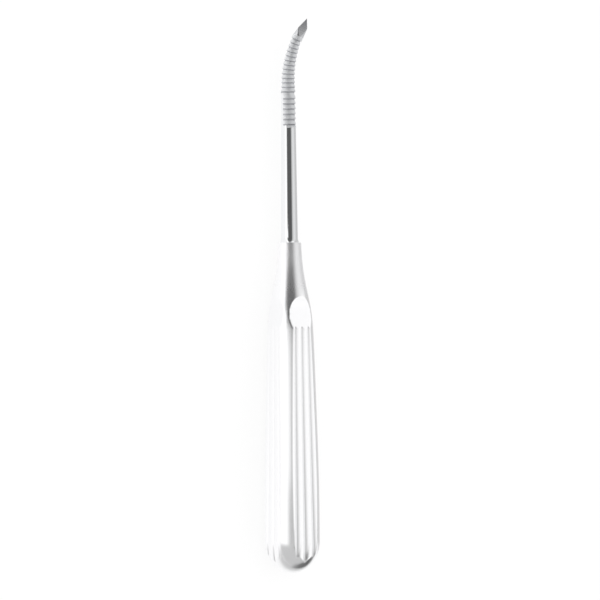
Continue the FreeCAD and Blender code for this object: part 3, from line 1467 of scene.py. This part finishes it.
@dataclass(frozen=True)
class Card:
    """A flat card beside the tool. Only reflections see it, and its tone changes one way.

    Its span gives its edges, first across and then up, and its tones go by metres. Both are
    measured from its middle.
    """

    name: str
    middle: Vector
    across: Vector
    up: Vector
    span: tuple[float, float, float, float]
    way: Vector
    tones: Profile

    def build(self) -> None:
        """Builds the card, which glows and lights nothing else."""
        material, tree, output = bare_material(self.name)
        place = add_node(tree, "ShaderNodeTexCoord").outputs["Object"]
        start = self.middle.dot(self.way)
        tones = tuple((at + start, tone) for at, tone in self.tones)
        level = ramp(tree, toward(tree, place, self.way), tones)
        glow = add_node(tree, "ShaderNodeEmission", {"Color": WHITE, "Strength": level})
        tree.links.new(glow.outputs[0], output)
        left, right, low, high = self.span
        around = ((left, low), (right, low), (right, high), (left, high))
        corners = [self.middle + self.across * u + self.up * v for u, v in around]
        made = stage_sheet(self.name, corners, material)
        made.visible_camera = False
        made.visible_diffuse = False
        made.visible_shadow = False
        made.visible_transmission = False


@dataclass(frozen=True)
class Studio:
    """A white table in a white tent, with a dark opening overhead, where the camera looks in."""

    view_angle: float = math.radians(34.5)
    view_distance: float = 1.2
    frame_width: float = 0.22
    sensor_width_mm: float = 36.0
    target_station: float = 99.93
    target_sideways_mm: float = 3.61
    floor_half_size: float = 2.5
    floor_glow_share: float = 0.8
    floor_light: float = 1.1
    # Tones of the tent round the tool's length, in degrees from the camera to the right.
    tones: Profile = (
        (-180.0, 1.05),
        (-62.0, 1.15),
        (-39.0, 1.3),
        (-21.5, 0.1),
        (30.0, 0.1),
        (47.0, 0.6),
        (60.0, 0.95),
        (78.0, 1.04),
        (98.0, 1.0),
        (122.0, 0.5),
        (180.0, 0.6),
    )
    # The tent is grey past the butt.
    butt_tone: float = 0.55
    butt_way: tuple[float, float, float] = (-0.3, -1.0, 0.0)
    butt_tone_from: float = 0.37
    butt_tone_whole: float = 0.47
    # A card in strips over the handle. Its tones go by metres to the right.
    over_height: float = 0.12
    over_right: Profile = (
        (0.018, 0.5),
        (0.038, 0.55),
        (0.075, 0.82),
        (0.12, 1.0),
        (0.35, 1.03),
    )
    over_grip: Profile = (
        (-0.2, 1.15),
        (-0.038, 1.15),
        (-0.02, 1.03),
        (-0.004, 0.8),
        *over_right,
    )
    over_butt: Profile = (
        (-0.2, 1.15),
        (-0.04, 1.15),
        (-0.022, 0.74),
        (-0.006, 0.46),
        *over_right,
    )
    over_edge: Profile = ((-0.05, 0.78), (-0.01, 0.58), (0.03, 0.6), (0.12, 0.9))
    over_spans: tuple[tuple[str, Profile, tuple[float, float, float, float]], ...] = (
        ("edge", over_edge, (-0.2, 0.35, -0.123, -0.111)),
        ("butt", over_butt, (-0.2, 0.35, -0.111, -0.07)),
        ("grip", over_grip, (-0.2, 0.35, -0.07, 0.004)),
        ("left", over_grip, (-0.2, -0.032, 0.004, 0.032)),
    )
    # A low dark wall at the lower right faces the domed butt and darkens that side of it.
    wall_middle: tuple[float, float] = (0.05, -0.147)
    wall_faces: tuple[float, float] = (0.0, -0.095)
    wall_height: float = 0.04
    wall_tones: Profile = (
        (-0.085, 0.55),
        (-0.06, 0.3),
        (-0.03, 0.13),
        (0.01, 0.1),
        (0.04, 0.35),
    )
    # Grey papers lie on the table beside the picture and before the butt.
    paper_height: float = 0.0004
    side_span: tuple[float, float, float, float] = (0.02, 0.4, -0.1, 0.25)
    side_tones: Profile = ((0.02, 0.75), (0.06, 0.6), (0.4, 0.6))
    butt_span: tuple[float, float, float, float] = (-0.2, 0.3, -0.8, -0.103)
    butt_tones: Profile = (
        (0.103, 1.0),
        (0.112, 0.95),
        (0.13, 0.62),
        (0.25, 0.5),
        (0.8, 0.5),
    )
    # A grey flag to the right of the neck, which the neck and the shaft reflect. Its tones go
    # by metres towards the camera.
    flag_right: float = 0.042
    flag_along: tuple[float, float] = (0.012, 0.085)
    flag_tones: Profile = (
        (-0.008, 0.55),
        (0.004, 0.66),
        (0.018, 0.8),
        (0.03, 0.76),
        (0.043, 0.6),
        (0.056, 0.42),
    )

    @property
    def towards_camera(self) -> Vector:
        """Direction from the tool to the camera."""
        return Vector((-math.sin(self.view_angle), 0, math.cos(self.view_angle)))

    @property
    def image_right(self) -> Vector:
        """Direction that points right in the picture."""
        return Vector((math.cos(self.view_angle), 0, math.sin(self.view_angle)))

    def build_camera(self, lie: Lie) -> None:
        """Places the camera over the tool, tilted to the photograph's angle.

        Args:
            lie: How the tool lies.
        """
        data = bpy.data.cameras.new("camera")
        data.sensor_width = self.sensor_width_mm
        data.lens = self.sensor_width_mm * self.view_distance / self.frame_width
        camera = bpy.data.objects.new("camera", data)
        bpy.context.scene.collection.objects.link(camera)
        right, back = self.image_right, self.towards_camera
        target = lie.metres(ALONG * self.target_station)
        target += right * self.target_sideways_mm * METRES_PER_MM
        axes = Matrix((right, back.cross(right), back)).transposed()
        place = Matrix.Translation(target + back * self.view_distance)
        camera.matrix_world = place @ axes.to_4x4()
        bpy.context.scene.camera = camera

    def build_floor(self) -> None:
        """A plain white floor. What sees it finds it near white, and it keeps a faint shadow."""
        material, tree, output = bare_material("white_table")
        paint = add_node(tree, "ShaderNodeBsdfDiffuse", {"Color": WHITE})
        glow = add_node(tree, "ShaderNodeEmission", {"Color": WHITE, "Strength": 1.0})
        factors = {0: self.seen_rays(tree), 1: self.floor_glow_share}
        share = add_node(tree, "ShaderNodeMath", factors, operation="MULTIPLY")
        shaders = {0: share.outputs[0], 1: paint.outputs[0], 2: glow.outputs[0]}
        mixed = add_node(tree, "ShaderNodeMixShader", shaders)
        tree.links.new(mixed.outputs[0], output)
        size = self.floor_half_size
        corners = [(-size, -size, 0), (size, -size, 0), (size, size, 0), (-size, size, 0)]
        stage_sheet("floor", corners, material)

    def seen_rays(self, tree: NodeTree) -> NodeSocket:
        """Tells the rays of the picture from the light that falls on things.

        Args:
            tree: The material's tree.

        Returns:
            1 for camera, glossy and transmission rays, and 0 for all others.
        """
        path = add_node(tree, "ShaderNodeLightPath").outputs
        seen = path["Is Camera Ray"]
        for other in ("Is Glossy Ray", "Is Transmission Ray"):
            pair = {0: seen, 1: path[other]}
            either = add_node(tree, "ShaderNodeMath", pair, operation="ADD", use_clamp=True)
            seen = either.outputs[0]
        return seen

    def cards(self) -> list[Card]:
        """Lays out the cards and papers.

        Returns:
            All of them, not built yet.
        """
        right, back, side = self.image_right, self.towards_camera, Vector((1, 0, 0))
        over = back * self.over_height
        made = []
        for name, tones, span in self.over_spans:
            made.append(Card("card_over_" + name, over, right, ALONG, span, right, tones))
        wall = Vector((*self.wall_middle, 0))
        wall_way = UP.cross(wall - Vector((*self.wall_faces, 0))).normalized()
        span = (self.wall_tones[0][0], self.wall_tones[-1][0], 0.0, self.wall_height)
        made.append(Card("low_wall", wall, wall_way, UP, span, wall_way, self.wall_tones))
        flag = right * self.flag_right
        span = (self.flag_tones[0][0], self.flag_tones[-1][0], *self.flag_along)
        made.append(Card("flag_beside_neck", flag, back, ALONG, span, back, self.flag_tones))
        table = UP * self.paper_height
        made.append(Card("side_paper", table, side, ALONG, self.side_span, side, self.side_tones))
        span, tones = self.butt_span, self.butt_tones
        made.append(Card("butt_paper", table, side, ALONG, span, -ALONG, tones))
        return made

    def build_world(self) -> None:
        """The tent, as reflections see it. To the floor's paint it is evenly white."""
        world = bpy.data.worlds.new("light_tent")
        bpy.context.scene.world = world
        world.use_nodes = True
        tree = world.node_tree
        direction = add_node(tree, "ShaderNodeTexCoord").outputs["Generated"]
        pair = {
            0: toward(tree, direction, self.image_right),
            1: toward(tree, direction, self.towards_camera),
        }
        around = add_node(tree, "ShaderNodeMath", pair, operation="ARCTAN2").outputs[0]
        degrees = add_node(tree, "ShaderNodeMath", {0: around}, operation="DEGREES").outputs[0]
        tent = ramp(tree, degrees, self.tones)
        to_butt = toward(tree, direction, Vector(self.butt_way).normalized())
        ends = {"From Min": self.butt_tone_from, "From Max": self.butt_tone_whole}
        share = add_node(
            tree, "ShaderNodeMapRange", {"Value": to_butt, **ends}, interpolation_type="SMOOTHSTEP"
        )
        fade = {0: share.outputs[0], 2: tent, 3: self.butt_tone}
        level = add_node(tree, "ShaderNodeMix", fade, data_type="FLOAT").outputs[0]
        glossy = add_node(tree, "ShaderNodeLightPath").outputs["Is Glossy Ray"]
        lit = {0: glossy, 2: self.floor_light, 3: level}
        shown = add_node(tree, "ShaderNodeMix", lit, data_type="FLOAT").outputs[0]
        background = tree.nodes["Background"].inputs
        background["Color"].default_value = WHITE
        tree.links.new(shown, background["Strength"])

    def build(self, lie: Lie) -> None:
        """Builds the camera, the floor and the light.

        Args:
            lie: How the tool lies.
        """
        self.build_camera(lie)
        self.build_floor()
        for card in self.cards():
            card.build()
        self.build_world()
        bpy.context.scene.view_settings.view_transform = "Standard"


def make_steels() -> dict[Finish, Material]:
    """Builds the tool's steels.

    Returns:
        The material of each finish.
    """
    return {
        Finish.POLISHED: PolishedSteel().material(),
        Finish.BLASTED: BlastedSteel().material(),
        # Painted shade: the bottoms of the grooves get a darker blasted steel, which stands in for
        # the shade that falls there.
        Finish.GULLET: BlastedSteel(Finish.GULLET, "#D6D7DA", "#C4C5C8").material(),
        Finish.GROUND: GroundSteel().material(),
        Finish.SATIN: SatinSteel().material(),
    }


def report(piece: Object) -> None:
    """Logs a finished piece with its size.

    Args:
        piece: The piece.
    """
    faces = len(piece.data.polygons)
    size = ", ".join(f"{edge / METRES_PER_MM:.1f}" for edge in piece.dimensions)
    LOG.info("%s: %d faces, %s mm", piece.name, faces, size)


def main() -> None:
    """Builds the tool and the studio around the CAD frame."""
    logging.basicConfig(level=logging.INFO, format="%(name)s %(message)s")
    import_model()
    steels = make_steels()
    handle = Handle()
    lie = Lie.of_frame(handle)
    report(handle.build(lie, Repeater(Repeat.AROUND_AXIS), steels[Finish.SATIN]))
    report(RaspShaft().build(lie, Repeater(Repeat.ALONG_AXIS), steels))
    Studio().build(lie)


if __name__ == "__main__":
    main()
